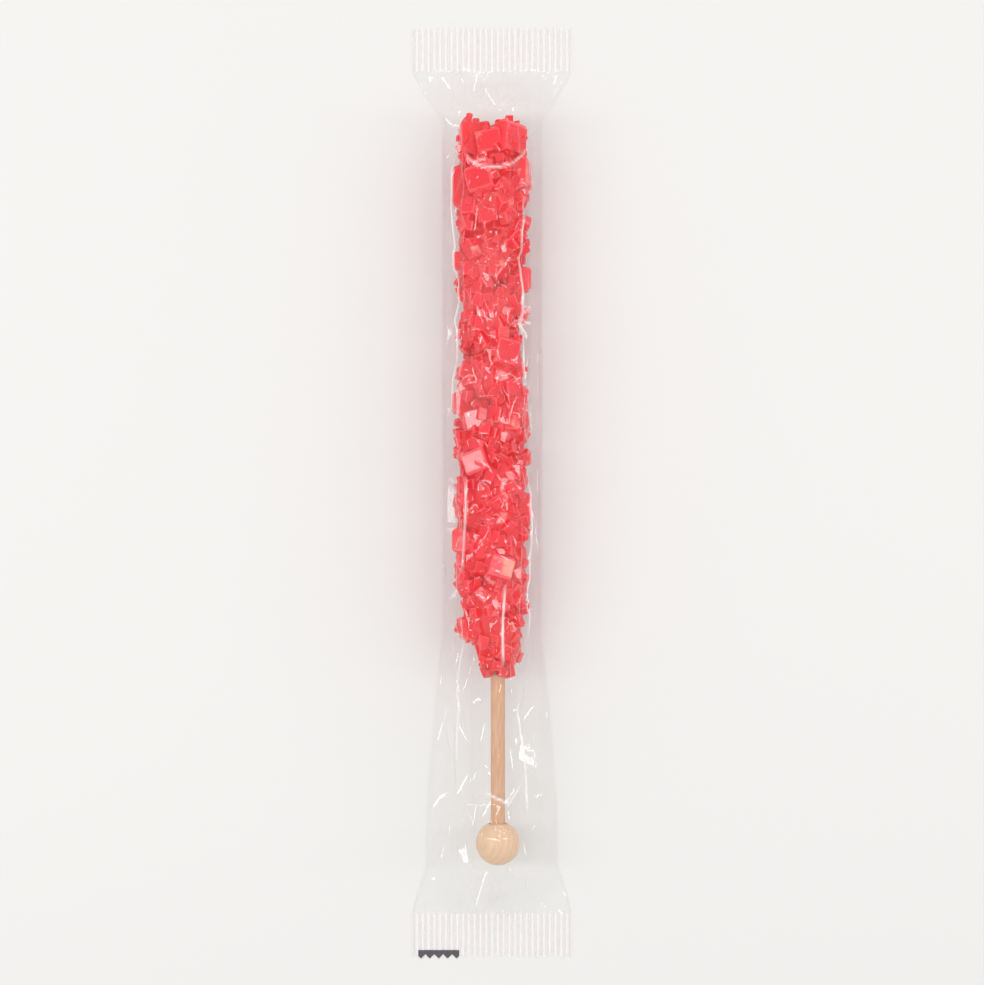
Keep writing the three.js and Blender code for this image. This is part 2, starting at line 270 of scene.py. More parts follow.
def setOnCrust(corners, size, turn, fromTip, angle, reach):
    # the middle of a crystal pushed out until its furthest corner is at its reach
    outward = Vector((math.cos(angle), 0, math.sin(angle)))
    turned = [turn @ Vector((c[0] * size[0], c[1] * size[1], c[2] * size[2])) for c in corners]
    middle = outward * reach * 0.7
    for _ in range(3):
        furthest = max(math.hypot(c.x + middle.x, c.z + middle.z) for c in turned)
        middle += outward * (reach - furthest)
    return Vector((middle.x + middleX(fromTip), tipY / mm - fromTip, middle.z + axisZ / mm))


def crystalPlaces():
    # one point for each crystal, with its form, turn and size
    places = []
    sharp = []  # each form's corners before its edges are bevelled
    for lean, *_ in blockForms:
        flat = [(-0.5 + lean, -0.5), (0.5, -0.5), (0.5 - lean, 0.5), (-0.5, 0.5)]
        sharp.append([(x, y, z) for x, y in flat for z in (-0.5, 0.5)])
    for fromTip, degrees, reach, (length, width, thickness), turnDegrees in bigCrystals:
        angle = math.radians(degrees)
        turn = lyingTurn(angle, 0, math.radians(turnDegrees), 0)
        size = (length, thickness, width)
        form = len(blockForms) - 1
        place = setOnCrust(sharp[form], size, turn, fromTip, angle, reach)
        places.append((place, form, turn, size))
    draw = seededDraw(candy["seed"])

    def spread(reach):
        return reach * (2 * draw() - 1)

    fromTip = growth[0][0] + 1
    count = 0
    while fromTip < candyMm - 1.4:
        angle = count * goldenAngle + spread(0.25)
        radius = crustRadius(fromTip, angle)
        fit = min(1, radius / candy["fullRadiusMm"])
        length = fit * (candy["smallestMm"] + (candy["largestMm"] - candy["smallestMm"]) * draw() ** 1.7)
        width = length * (0.62 + 0.3 * draw())
        thickness = length * (0.55 + 0.3 * draw())
        lean = 0.1 + 0.14 * draw()
        form = min(range(len(blockForms) - 1), key=lambda k: abs(blockForms[k][0] - lean))
        leaning = math.pi if draw() < candy["tumbled"] else candy["leaning"]
        turn = lyingTurn(angle, spread(leaning), spread(leaning), spread(leaning))
        depth = candy["sunkMm"] * draw() ** 1.5 * fit
        size = (length, thickness, width)
        place = setOnCrust(sharp[form], size, turn, fromTip, angle, radius - depth)
        places.append((place, form, turn, size))
        fromTip += (fit * candy["spacingMm"]) ** 2 / (2 * math.pi * radius)
        count += 1
    mesh = bpy.data.meshes.new("crystalPlaces")
    mesh.from_pydata([place * mm for place, *_ in places], [], [])
    form = mesh.attributes.new("form", "INT", "POINT")
    turned = mesh.attributes.new("turned", "FLOAT_VECTOR", "POINT")
    sized = mesh.attributes.new("sized", "FLOAT_VECTOR", "POINT")
    for i, (_, k, turn, size) in enumerate(places):
        form.data[i].value = k
        turned.data[i].vector = turn.to_euler()
        sized.data[i].vector = Vector(size) * mm
    return mesh


def coreMesh():
    # the solid middle under the crystals
    rings = 48
    around = 24
    start = growth[0][0]
    vertices = []
    for i in range(rings):
        fromTip = start + (candyMm - start) * i / (rings - 1)
        for k in range(around):
            a = 2 * math.pi * k / around
            radius = max(crustRadius(fromTip, a) - candy["crustMm"], candy["leastCoreMm"])
            vertices.append((
                (middleX(fromTip) + radius * math.cos(a)) * mm,
                tipY - fromTip * mm,
                axisZ + radius * math.sin(a) * mm,
            ))
    faces = [tuple(range(around))[::-1], tuple(range((rings - 1) * around, rings * around))]
    for i in range(rings - 1):
        for k in range(around):
            a = i * around + k
            b = i * around + (k + 1) % around
            faces.append((a, b, b + around, a + around))
    mesh = meshFrom("core", vertices, faces)
    bm = bmesh.new()
    bm.from_mesh(mesh)
    bmesh.ops.recalc_face_normals(bm, faces=bm.faces)
    bm.to_mesh(mesh)
    bm.free()
    return mesh


def boreMesh():
    # the room that the dowel takes, open at the neck
    bm = bmesh.new()
    top = dowelHigh.y + gap
    bottom = neckY - 10 * mm
    place = Matrix.Translation((dowelX, (top + bottom) / 2, axisZ))
    bmesh.ops.create_cone(
        bm,
        cap_ends=True,
        segments=32,
        radius1=boreRadius,
        radius2=boreRadius,
        depth=top - bottom,
        matrix=place @ Matrix.Rotation(math.pi / 2, 4, "X"),
    )
    mesh = bpy.data.meshes.new("bore")
    bm.to_mesh(mesh)
    bm.free()
    return mesh


def finePlaces():
    # points round the candy and before its two ends, each with the way in to its fine crystal
    draw = seededDraw(candy["seed"] + 1)
    outside = candy["reachMm"] + 2
    vertices = []
    inward = []
    fromTip = growth[0][0] - 1
    while fromTip < candyMm - 0.6:
        angle = len(vertices) * goldenAngle + 0.5 * (draw() - 0.5)
        outward = Vector((math.cos(angle), 0, math.sin(angle)))
        middle = Vector((middleX(fromTip) * mm, tipY - fromTip * mm, axisZ))
        vertices.append(middle + outward * outside * mm)
        inward.append(-outward)
        fromTip += candy["fineSpacingMm"] ** 2 / (2 * math.pi * crustRadius(fromTip, angle))
    for k in range(candy["fineOnTip"]):
        away = growth[0][1] * math.sqrt((k + 0.5) / candy["fineOnTip"]) * mm
        angle = k * goldenAngle + 0.5 * (draw() - 0.5)
        z = axisZ + away * math.sin(angle)
        vertices.append(Vector((away * math.cos(angle), tipY + 2 * mm, z)))
        inward.append(Vector((0, -1, 0)))
    for k in range(candy["fineOnNeck"]):
        away = boreRadius + (0.3 + 0.9 * draw()) * mm
        angle = math.tau * (k + 0.6 * draw()) / candy["fineOnNeck"]
        x = dowelX + away * math.cos(angle)
        z = axisZ + away * math.sin(angle)
        vertices.append(Vector((x, neckY - 2 * mm, z)))
        inward.append(Vector((0, 1, 0)))
    mesh = meshFrom("finePlaces", vertices, [])
    toward = mesh.attributes.new("inward", "FLOAT_VECTOR", "POINT")
    for i, way in enumerate(inward):
        toward.data[i].vector = way
    return mesh


def crystalTree():
    # grows the crystals on the core: the given ones first, then fine ones in the hollows
    tree = bpy.data.node_groups.new("Crystal growth", "GeometryNodeTree")
    tree.interface.new_socket("Geometry", in_out="OUTPUT", socket_type="NodeSocketGeometry")
    for name, kind in (
        ("Geometry", "Geometry"),
        ("Blocks", "Collection"),
        ("Core", "Object"),
        ("Bore", "Object"),
        ("Fine places", "Object"),
        ("Fine smallest", "Float"),
        ("Fine largest", "Float"),
        ("Fine leaning", "Float"),
        ("Reach", "Float"),
        ("Seed", "Int"),
        ("Material", "Material"),
    ):
        tree.interface.new_socket(name, in_out="INPUT", socket_type="NodeSocket" + kind)
    given = addNode(tree, "NodeGroupInput").outputs

    def seedPlus(step):
        return addNode(tree, "ShaderNodeMath", {0: given["Seed"], 1: step}, operation="ADD").outputs[0]

    blocks = addNode(tree, "GeometryNodeCollectionInfo", {
        "Collection": given["Blocks"],
        "Separate Children": True,
        "Reset Children": True,
    }).outputs["Instances"]
    form, turned, sized, inward = (
        addNode(tree, "GeometryNodeInputNamedAttribute", {"Name": name}, data_type=kind).outputs[0]
        for name, kind in (
            ("form", "INT"),
            ("turned", "FLOAT_VECTOR"),
            ("sized", "FLOAT_VECTOR"),
            ("inward", "FLOAT_VECTOR"),
        )
    )
    leading = addNode(tree, "GeometryNodeInstanceOnPoints", {
        "Points": given["Geometry"],
        "Instance": blocks,
        "Pick Instance": True,
        "Instance Index": form,
        "Rotation": turned,
        "Scale": sized,
    })
    core = addNode(tree, "GeometryNodeObjectInfo", {"Object": given["Core"]})
    joined = addNode(tree, "GeometryNodeMeshBoolean", operation="UNION", solver="MANIFOLD")
    tree.links.new(leading.outputs["Instances"], joined.inputs["Mesh"])
    tree.links.new(core.outputs["Geometry"], joined.inputs["Mesh"])

    # fine crystals keep to the hollows, where the big ones left room to grow
    outside = addNode(tree, "GeometryNodeObjectInfo", {"Object": given["Fine places"]})
    struck = addNode(tree, "GeometryNodeRaycast", {
        "Target Geometry": joined.outputs["Mesh"],
        "Ray Direction": inward,
        "Ray Length": 20 * mm,
    })
    landed = addNode(tree, "GeometryNodeSetPosition", {
        "Geometry": outside.outputs["Geometry"],
        "Selection": struck.outputs["Is Hit"],
        "Position": struck.outputs["Hit Position"],
    })
    place = addNode(tree, "GeometryNodeInputPosition")
    fromAxis = addNode(tree, "ShaderNodeVectorMath", {
        0: place.outputs["Position"],
        1: (0, 0, axisZ),
    }, operation="SUBTRACT")
    across = addNode(tree, "ShaderNodeVectorMath", {
        0: fromAxis.outputs["Vector"],
        1: (1, 0, 1),
    }, operation="MULTIPLY")
    away = addNode(tree, "ShaderNodeVectorMath", {0: across.outputs["Vector"]}, operation="LENGTH")
    # a block's corner is 0.87 of its size from its middle, so this is the size that fits
    left = addNode(tree, "ShaderNodeMath", {
        0: given["Reach"],
        1: away.outputs["Value"],
    }, operation="SUBTRACT")
    fits = addNode(tree, "ShaderNodeMath", {0: left.outputs[0], 1: 0.87}, operation="DIVIDE")
    noRoom = addNode(tree, "FunctionNodeCompare", {
        0: fits.outputs[0],
        1: given["Fine smallest"],
    }, data_type="FLOAT", operation="LESS_THAN")
    settled = addNode(tree, "GeometryNodeDeleteGeometry", {
        "Geometry": landed.outputs["Geometry"],
        "Selection": noRoom.outputs["Result"],
    }, domain="POINT")
    tilt = addNode(tree, "FunctionNodeRandomValue", {
        0: (-1, 0, -1),
        1: (1, 0, 1),
        "Seed": seedPlus(1),
    }, data_type="FLOAT_VECTOR")
    leaning = addNode(tree, "ShaderNodeVectorMath", {
        0: tilt.outputs["Value"],
        "Scale": given["Fine leaning"],
    }, operation="SCALE")
    around = addNode(tree, "FunctionNodeRandomValue", {
        0: (0, 0, 0),
        1: (0, math.tau, 0),
        "Seed": seedPlus(5),
    }, data_type="FLOAT_VECTOR")
    spin = addNode(tree, "ShaderNodeVectorMath", {
        0: leaning.outputs["Vector"],
        1: around.outputs["Value"],
    }, operation="ADD")
    grain = addNode(tree, "FunctionNodeRandomValue", {
        2: given["Fine smallest"],
        3: given["Fine largest"],
        "Seed": seedPlus(2),
    }, data_type="FLOAT")
    fitted = addNode(tree, "ShaderNodeMath", {
        0: grain.outputs[1],
        1: fits.outputs[0],
    }, operation="MINIMUM")
    shape = addNode(tree, "FunctionNodeRandomValue", {
        0: (0.6, 0.8, 0.6),
        1: (0.95, 1.1, 0.95),
        "Seed": seedPlus(3),
    }, data_type="FLOAT_VECTOR")
    grainSize = addNode(tree, "ShaderNodeVectorMath", {
        0: shape.outputs["Value"],
        "Scale": fitted.outputs[0],
    }, operation="SCALE")
    pick = addNode(tree, "FunctionNodeRandomValue", {
        4: 0,
        5: len(blockForms) - 2,
        "Seed": seedPlus(4),
    }, data_type="INT")
    fine = addNode(tree, "GeometryNodeInstanceOnPoints", {
        "Points": settled.outputs["Geometry"],
        "Instance": blocks,
        "Pick Instance": True,
        "Instance Index": pick.outputs[2],
        "Rotation": spin.outputs["Vector"],
        "Scale": grainSize.outputs["Vector"],
    })
    grown = addNode(tree, "GeometryNodeMeshBoolean", operation="UNION", solver="MANIFOLD")
    tree.links.new(joined.outputs["Mesh"], grown.inputs["Mesh"])
    tree.links.new(fine.outputs["Instances"], grown.inputs["Mesh"])
    bore = addNode(tree, "GeometryNodeObjectInfo", {"Object": given["Bore"]})
    bored = addNode(tree, "GeometryNodeMeshBoolean", {
        "Mesh 1": grown.outputs["Mesh"],
        "Mesh 2": bore.outputs["Geometry"],
    }, operation="DIFFERENCE", solver="MANIFOLD")
    real = addNode(tree, "GeometryNodeRealizeInstances", {"Geometry": bored.outputs["Mesh"]})
    # each face takes the tone of the crystal whose middle is nearest
    middles = addNode(tree, "GeometryNodeJoinGeometry")
    tree.links.new(given["Geometry"], middles.inputs["Geometry"])
    tree.links.new(settled.outputs["Geometry"], middles.inputs["Geometry"])
    nearest = addNode(tree, "GeometryNodeSampleNearest", {
        "Geometry": middles.outputs["Geometry"],
        "Sample Position": place.outputs["Position"],
    }, domain="POINT")
    ownTone = addNode(tree, "FunctionNodeRandomValue", {
        2: 0.0,
        3: 1.0,
        "ID": nearest.outputs["Index"],
        "Seed": seedPlus(9),
    }, data_type="FLOAT")
    toned = addNode(tree, "GeometryNodeStoreNamedAttribute", {
        "Geometry": real.outputs["Geometry"],
        "Name": "tone",
        "Value": ownTone.outputs[1],
    }, data_type="FLOAT", domain="FACE")
    painted = addNode(tree, "GeometryNodeSetMaterial", {
        "Geometry": toned.outputs["Geometry"],
        "Material": given["Material"],
    })
    addNode(tree, "NodeGroupOutput", {"Geometry": painted.outputs["Geometry"]})
    return tree


def sugarMaterial():
    # Cherry dyed sugar crystal: clear, glossy faces over a softly glowing, cloudy inside, with painted
    # shade that turns it deeper red towards the middle line and a painted glow that makes the bevelled
    # edges pale pink
    material, tree = newMaterial("Cherry sugar crystal")
    coords = addNode(tree, "ShaderNodeTexCoord").outputs["Object"]
    cloud = addNode(tree, "ShaderNodeTexNoise", {
        "Vector": coords,
        "Scale": 1 / (5 * mm),
        "Detail": 3.0,
        "Roughness": 0.55,
    })
    tone = addNode(tree, "ShaderNodeAttribute", attribute_name="tone")
    mixed = addNode(tree, "ShaderNodeMix", {
        "Factor": 0.35,
        "A": tone.outputs["Fac"],
        "B": cloud.outputs["Fac"],
    })
    tint = addNode(tree, "ShaderNodeValToRGB", {"Fac": mixed.outputs["Result"]})
    ramp = tint.color_ramp
    ramp.elements[0].position = 0.2
    ramp.elements[0].color = linearColour("#ec0626")
    ramp.elements[1].position = 0.8
    ramp.elements[1].color = linearColour("#ff2440")
    # a few crystals are painted pale peach, a painted glow for crystals that catch the light through them
    paintedGlowStop = ramp.elements.new(0.85)
    paintedGlowStop.color = linearColour("#ff9a86")
    # painted shade: deeper red towards the middle line, for the shaded hollows and thick sugar; painted
    # glow: paler bevelled edges, for light through thin edges
    fromAxis = addNode(tree, "ShaderNodeVectorMath", {
        0: coords,
        1: (0, 0, axisZ),
    }, operation="SUBTRACT")
    across = addNode(tree, "ShaderNodeVectorMath", {
        0: fromAxis.outputs["Vector"],
        1: (1, 0, 1),
    }, operation="MULTIPLY")
    away = addNode(tree, "ShaderNodeVectorMath", {0: across.outputs["Vector"]}, operation="LENGTH")
    paintedShadeDepth = addNode(tree, "ShaderNodeMapRange", {
        "Value": away.outputs["Value"],
        "From Min": candy["paintedDeepRedMm"][0] * mm,
        "From Max": candy["paintedDeepRedMm"][1] * mm,
        "To Min": 1.0,
        "To Max": 0.0,
    })
    # painted shade: the colour turns deep red towards the middle line
    shadeDeepened = addNode(tree, "ShaderNodeMix", {
        "Factor": paintedShadeDepth.outputs["Result"],
        "A": tint.outputs["Color"],
        "B": linearColour("#f4000f"),
    }, data_type="RGBA")
    # painted glow: the bevelled edges are painted pale pink, as if light came through them
    rim = addNode(tree, "ShaderNodeAttribute", attribute_name="rim")
    thin = addNode(tree, "ShaderNodeMath", {
        0: rim.outputs["Fac"],
        1: candy["rimPaintedGlow"],
    }, operation="MULTIPLY")
    glowEdged = addNode(tree, "ShaderNodeMix", {
        "Factor": thin.outputs[0],
        "A": shadeDeepened.outputs["Result"],
        "B": linearColour("#ff8c92"),
    }, data_type="RGBA")
    pits = addNode(tree, "ShaderNodeTexNoise", {
        "Vector": coords,
        "Scale": 1 / (0.7 * mm),
        "Detail": 2.0,
        "Roughness": 0.6,
    })
    relief = addNode(tree, "ShaderNodeBump", {
        "Height": pits.outputs["Fac"],
        "Strength": 0.25,
        "Distance": 0.08 * mm,
    })
    dull = addNode(tree, "ShaderNodeMapRange", {
        "Value": pits.outputs["Fac"],
        "To Min": 0.04,
        "To Max": 0.18,
    })
    sugar = addNode(tree, "ShaderNodeBsdfPrincipled", {
        "Base Color": glowEdged.outputs["Result"],
        "Roughness": dull.outputs["Result"],
        "Normal": relief.outputs["Normal"],
        "IOR": 1.54,
        "Subsurface Weight": 1.0,
        "Subsurface Radius": (1.0, 0.22, 0.25),
        "Subsurface Scale": 3.0 * mm,
        "Transmission Weight": 0.12,
    })
    addNode(tree, "ShaderNodeOutputMaterial", {"Surface": sugar.outputs["BSDF"]})
    return material


def dropCrumbs(mesh):
    # only what has grown together stays
    bm = bmesh.new()
    bm.from_mesh(mesh)
    left = set(bm.verts)
    grownParts = []
    while left:
        front = [left.pop()]
        part = list(front)
        while front:
            near = [edge.other_vert(v) for v in front for edge in v.link_edges]
            front = [v for v in dict.fromkeys(near) if v in left]
            left.difference_update(front)
            part += front
        grownParts.append(part)
    grownParts.sort(key=len)
    bmesh.ops.delete(bm, geom=[v for part in grownParts[:-1] for v in part], context="VERTS")
    bm.to_mesh(mesh)
    bm.free()


def makeCandy():
    print("candy: growing the crystals")
    store = bpy.data.collections.new("Sugar blocks")
    bpy.context.scene.collection.children.link(store)
    helpers = []
    for k, form in enumerate(blockForms):
        block = bpy.data.objects.new(f"sugarBlock{k}", sugarBlock(f"sugarBlock{k}", *form))
        store.objects.link(block)
        helpers.append(block)
    core = newObject("candyCore", coreMesh())
    bore = newObject("candyBore", boreMesh())
    outside = newObject("candyFinePlaces", finePlaces())
    helpers += [core, bore, outside]
    grown = newObject("candyGrowing", crystalPlaces())
    tree = crystalTree()
    growing = grown.modifiers.new("Crystal growth", "NODES")
    growing.node_group = tree
    values = {
        "Blocks": store,
        "Core": core,
        "Bore": bore,
        "Fine places": outside,
        "Fine smallest": candy["fineSmallestMm"] * mm,
        "Fine largest": candy["fineLargestMm"] * mm,
        "Fine leaning": candy["fineLeaning"],
        "Reach": candy["reachMm"] * mm,
        "Seed": candy["seed"],
        "Material": sugarMaterial(),
    }
    for item in tree.interface.items_tree:
        if item.in_out == "INPUT" and item.name in values:
            growing[item.identifier] = values[item.name]
    shown = bpy.context.evaluated_depsgraph_get()
    mesh = bpy.data.meshes.new_from_object(grown.evaluated_get(shown))
    mesh.name = "candyCrystals"
    dropCrumbs(mesh)
    piece = newObject("candyCrystals", mesh)
    for helper in helpers + [grown]:
        bpy.data.objects.remove(helper)
    bpy.data.collections.remove(store)
    print("candy:", len(mesh.polygons), "faces")
    return piece


candyPiece = makeCandy()
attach(candyPiece, "root")
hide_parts("candy")

# Wooden dowel and ball

wood = {
    "ringMm": 1.3,  # between growth rings
    "fibreMm": 0.22,  # width of a fibre streak
    "fibreLengthMm": 5.0,
    "waveRings": 3.2,  # that the wave texture draws in one unit
    "ballSegments": 72,
    "dowelSegments": 48,
}


def birchMaterial(name, pale, dark, ringsShow):
    # Sanded birch, pale and close grained: fine streaks along the wood and faint growth
    # rings, with a low satin sheen
    material, tree = newMaterial(name)
    coords = addNode(tree, "ShaderNodeTexCoord").outputs["Object"]
    acrossGrain = 1 / (wood["fibreMm"] * mm)
    stretched = addNode(tree, "ShaderNodeMapping", {
        "Vector": coords,
        "Scale": (acrossGrain, 1 / (wood["fibreLengthMm"] * mm), acrossGrain),
    })
    fibres = addNode(tree, "ShaderNodeTexNoise", {
        "Vector": stretched.outputs["Vector"],
        "Scale": 1.0,
        "Detail": 3.0,
        "Roughness": 0.6,
    })
    aside = addNode(tree, "ShaderNodeMapping", {
        "Vector": coords,
        "Location": (6 * mm, 0, -axisZ - 9 * mm),
        "Rotation": (0.12, 0, 0.2),
    })
    rings = addNode(tree, "ShaderNodeTexWave", {
        "Vector": aside.outputs["Vector"],
        "Scale": 1 / (wood["ringMm"] * mm) / wood["waveRings"],
        "Distortion": 1.2,
        "Detail": 2.0,
        "Detail Scale": 0.8,
    }, wave_type="RINGS", rings_direction="Y")
    streaks = addNode(tree, "ShaderNodeMix", {
        "Factor": ringsShow,
        "A": fibres.outputs["Fac"],
        "B": rings.outputs["Fac"],
    })
    tint = addNode(tree, "ShaderNodeValToRGB", {"Fac": streaks.outputs["Result"]})
    ramp = tint.color_ramp
    ramp.elements[0].position = 0.25
    ramp.elements[0].color = linearColour(dark)
    ramp.elements[1].position = 0.7
    ramp.elements[1].color = linearColour(pale)
    relief = addNode(tree, "ShaderNodeBump", {
        "Height": fibres.outputs["Fac"],
        "Strength": 0.3,
        "Distance": 0.05 * mm,
    })
    sheen = addNode(tree, "ShaderNodeMapRange", {
        "Value": fibres.outputs["Fac"],
        "To Min": 0.5,
        "To Max": 0.36,
    })
    birch = addNode(tree, "ShaderNodeBsdfPrincipled", {
        "Base Color": tint.outputs["Color"],
        "Roughness": sheen.outputs["Result"],
        "Normal": relief.outputs["Normal"],
        "IOR": 1.5,
        "Subsurface Weight": 0.15,
        "Subsurface Radius": (1.0, 0.6, 0.35),
        "Subsurface Scale": 0.6 * mm,
    })
    addNode(tree, "ShaderNodeOutputMaterial", {"Surface": birch.outputs["BSDF"]})
    return material


def turnedMesh(name, profile, segments, centreY):
    # a profile of (radius, y) turned round the stick's axis, closed at both ends
    vertices = []
    rows = []
    for radius, y in profile:
        if radius < 1e-7:
            rows.append([len(vertices)])
            vertices.append((dowelX, centreY + y, axisZ))
            continue
        rows.append(list(range(len(vertices), len(vertices) + segments)))
        for k in range(segments):
            a = 2 * math.pi * k / segments
            vertices.append((dowelX + radius * math.cos(a), centreY + y, axisZ + radius * math.sin(a)))
    faces = []
    for low, high in zip(rows, rows[1:]):
        for k in range(segments):
            corners = [
                low[k % len(low)],
                low[(k + 1) % len(low)],
                high[(k + 1) % len(high)],
                high[k % len(high)],
            ]
            faces.append(tuple(dict.fromkeys(corners)))
    mesh = meshFrom(name, vertices, faces)
    bm = bmesh.new()
    bm.from_mesh(mesh)
    bmesh.ops.recalc_face_normals(bm, faces=bm.faces)
    for edge in bm.edges:
        edge.smooth = edge.calc_face_angle(0) < math.radians(25)
    for face in bm.faces:
        face.smooth = True
    bm.to_mesh(mesh)
    bm.free()
    return mesh


def makeBall():
    print("ball: turning")
    radius = ballDiameter / 2
    lip = math.asin((boreRadius + 0.25 * mm) / radius)
    steps = 40
    profile = []
    for i in range(steps + 1):
        angle = (math.pi - lip) * i / steps
        # a saw-cut flat, barely there, where the ball was parted off
        y = max(-radius * math.cos(angle), -radius + 0.05 * mm)
        profile.append((radius * math.sin(angle), y))
    profile[0] = (0.0, profile[0][1])
    floorY = dowelLow.y - gap - ballY
    profile += [
        (boreRadius, profile[-1][1] - 0.2 * mm),
        (boreRadius, floorY),
        (0.0, floorY),
    ]
    piece = newObject("birchBall", turnedMesh("birchBall", profile, wood["ballSegments"], ballY))
    piece.data.materials.append(birchMaterial("Turned birch ball", "#dfbfa0", "#d0a988", 0.12))
    return piece


def makeDowel():
    print("dowel: rounding")
    chamfer = 0.35 * mm
    profile = [
        (0.0, dowelLow.y),
        (dowelRadius - chamfer, dowelLow.y),
        (dowelRadius, dowelLow.y + chamfer),
        (dowelRadius, dowelHigh.y - chamfer),
        (dowelRadius - chamfer, dowelHigh.y),
        (0.0, dowelHigh.y),
    ]
    piece = newObject("birchDowel", turnedMesh("birchDowel", profile, wood["dowelSegments"], 0))
    piece.data.materials.append(birchMaterial("Birch dowel", "#d2a685", "#bd8e6b", 0.1))
    return piece


ballPiece = makeBall()
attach(ballPiece, "root")
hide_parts("ball")
dowelPiece = makeDowel()
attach(dowelPiece, "root")
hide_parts("dowel")

# Film sleeve

film = {
    "crimpMm": 10,
    "shoulderMm": 11,
    "sag": 1.2,
    "foldMm": 0.5,  # height of the side folds over the table
    "sealMm": 0.1,  # both layers together in the crimp
    "ridgeMm": 1.3,
    "ridgeDepthMm": 0.1,
    "toothMm": 2,
    "toothDepthMm": 1,
    "finHalfMm": 4.5,  # the lengthwise seal, folded flat under the sleeve
    "finMm": 0.2,
    "hemMm": 1.2,  # width of the round side folds
    "slackMm": 0.35,  # how far the lower side stands off the table here and there
    "topColumns": 144,
    "backColumns": 72,
    "rowMm": 0.56,
    "wideFacetMm": (5.2, 13.0),  # across and along, from crease to crease
    "smallFacetMm": (2.6, 6.0),
    "crumpledMm": (11.0, 26.0),  # size of the patches that have small facets
    "finestFacetMm": (3.5, 9.0),
    "lowerFacetMm": (6.0, 8.0),
    "pleatMm": 2.6,
    "foldHalfWidthMm": 0.45,
    "foldHeightMm": 0.35,
    "offTableMm": 0.03,
    "offCandyMm": 0.3,  # least room between the film and what it wraps
    "deepestMm": 5.0,
    "markMm": {"X": (-16.6, -7.4), "Y": (-105.5, -103.1)},
    "seed": 11,
}

# Sharp folds that stand up from the film: points across and along the unrolled top side, in mm
standingFolds = [
    [(-8.5, 74.8), (-5.8, 72.6), (-3.0, 71.3), (1.0, 70.8), (5.0, 71.8), (8.0, 73.6), (10.5, 76.0)],
    [(9.2, 66.0), (8.7, 48.0), (9.0, 22.0)],
    [(-12.5, 80.0), (-11.6, 40.0), (-12.2, 12.0)],
    [(7.6, 38.0), (11.5, 41.5)],
    [(7.6, 38.0), (12.0, 37.0)],
    [(7.6, 38.0), (10.5, 34.0)],
    [(12.4, 8.0), (11.8, -14.0), (12.6, -34.0)],
    [(-7.0, 4.0), (-7.6, -18.0)],
    [(3.5, -20.0), (2.6, -38.0)],
    [(-9.0, -30.0), (-13.5, -62.0)],
    [(8.0, -44.0), (11.0, -72.0)],
    [(-4.0, -66.0), (4.5, -68.5), (9.0, -64.0)],
]

# How deep the film may crease, along the sleeve in mm: y, wide facets, small facets, pleats
creasing = [
    (-95, 0.0, 0.0, 0.0),
    (-91, 0.6, 0.4, 1.4),
    (-84, 0.9, 0.5, 1.0),
    (-76, 1.4, 0.3, 0.4),
    (-50, 1.8, 0.4, 0.0),
    (-30, 1.5, 0.4, 0.0),
    (76, 1.5, 0.4, 0.2),
    (84, 0.9, 0.5, 1.0),
    (91, 0.6, 0.4, 1.4),
    (95, 0.0, 0.0, 0.0),
]

filmLow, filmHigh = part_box("wrapper")
sleeveHalf = (filmHigh.y - filmLow.y) / 2 / mm
sealY = sleeveHalf - film["crimpMm"]
bodyY = sealY - film["shoulderMm"]
flatWidth = (filmHigh.x - filmLow.x) / mm
clearance = 0.6
ballRound = {
    "top": (axisZ + ballDiameter / 2) / mm + clearance,
    "radius": ballDiameter / 2 / mm + 2 * clearance,
    "x": dowelX / mm,
}
candyRound = {"top": filmHigh.z / mm, "radius": candy["reachMm"] + clearance, "x": 0.0}
rounds = [
    (-bodyY, ballRound),
    ((ballY + ballDiameter / 2) / mm, ballRound),
    (neckY / mm + 6, candyRound),
    (bodyY, candyRound),
]


def upperLine(halfBase, shape):
    # the film's upper side across the stick, from its right fold to its left
    centreZ = shape["top"] - shape["radius"]
    edgeZ = film["foldMm"]
    angles = []
    for side in (1, -1):
        edgeX = halfBase - side * shape["x"]
        away = math.acos(shape["radius"] / math.hypot(edgeX, edgeZ - centreZ))
        angles.append(math.atan2(edgeZ - centreZ, edgeX) + away)
    start = angles[0]
    end = math.pi - angles[1]
    steps = 96
    line = [(halfBase, edgeZ)]
    for i in range(steps + 1):
        a = start + (end - start) * i / steps
        line.append((shape["x"] + shape["radius"] * math.cos(a), centreZ + shape["radius"] * math.sin(a)))
    line.append((-halfBase, edgeZ))
    return line


def lineLength(line):
    return sum(math.dist(a, b) for a, b in zip(line, line[1:]))


def halfBaseFor(shape):
    # the sleeve's girth is the same all along, so its base is narrower over the candy
    low = shape["radius"] + abs(shape["x"])
    high = flatWidth / 2
    for _ in range(20):
        middle = (low + high) / 2
        if lineLength(upperLine(middle, shape)) + 2 * middle > 2 * flatWidth:
            high = middle
        else:
            low = middle
    return high


def resampled(line, count):
    # evenly spaced points on the line, each with its direction outwards
    total = lineLength(line)
    points = []
    done = 0.0
    k = 0
    for i in range(count + 1):
        target = total * i / count
        while k < len(line) - 2 and done + math.dist(line[k], line[k + 1]) < target:
            done += math.dist(line[k], line[k + 1])
            k += 1
        (x0, z0), (x1, z1) = line[k], line[k + 1]
        step = math.dist(line[k], line[k + 1])
        t = (target - done) / step
        points.append((x0 + (x1 - x0) * t, z0 + (z1 - z0) * t, (z1 - z0) / step, (x0 - x1) / step))
    return points


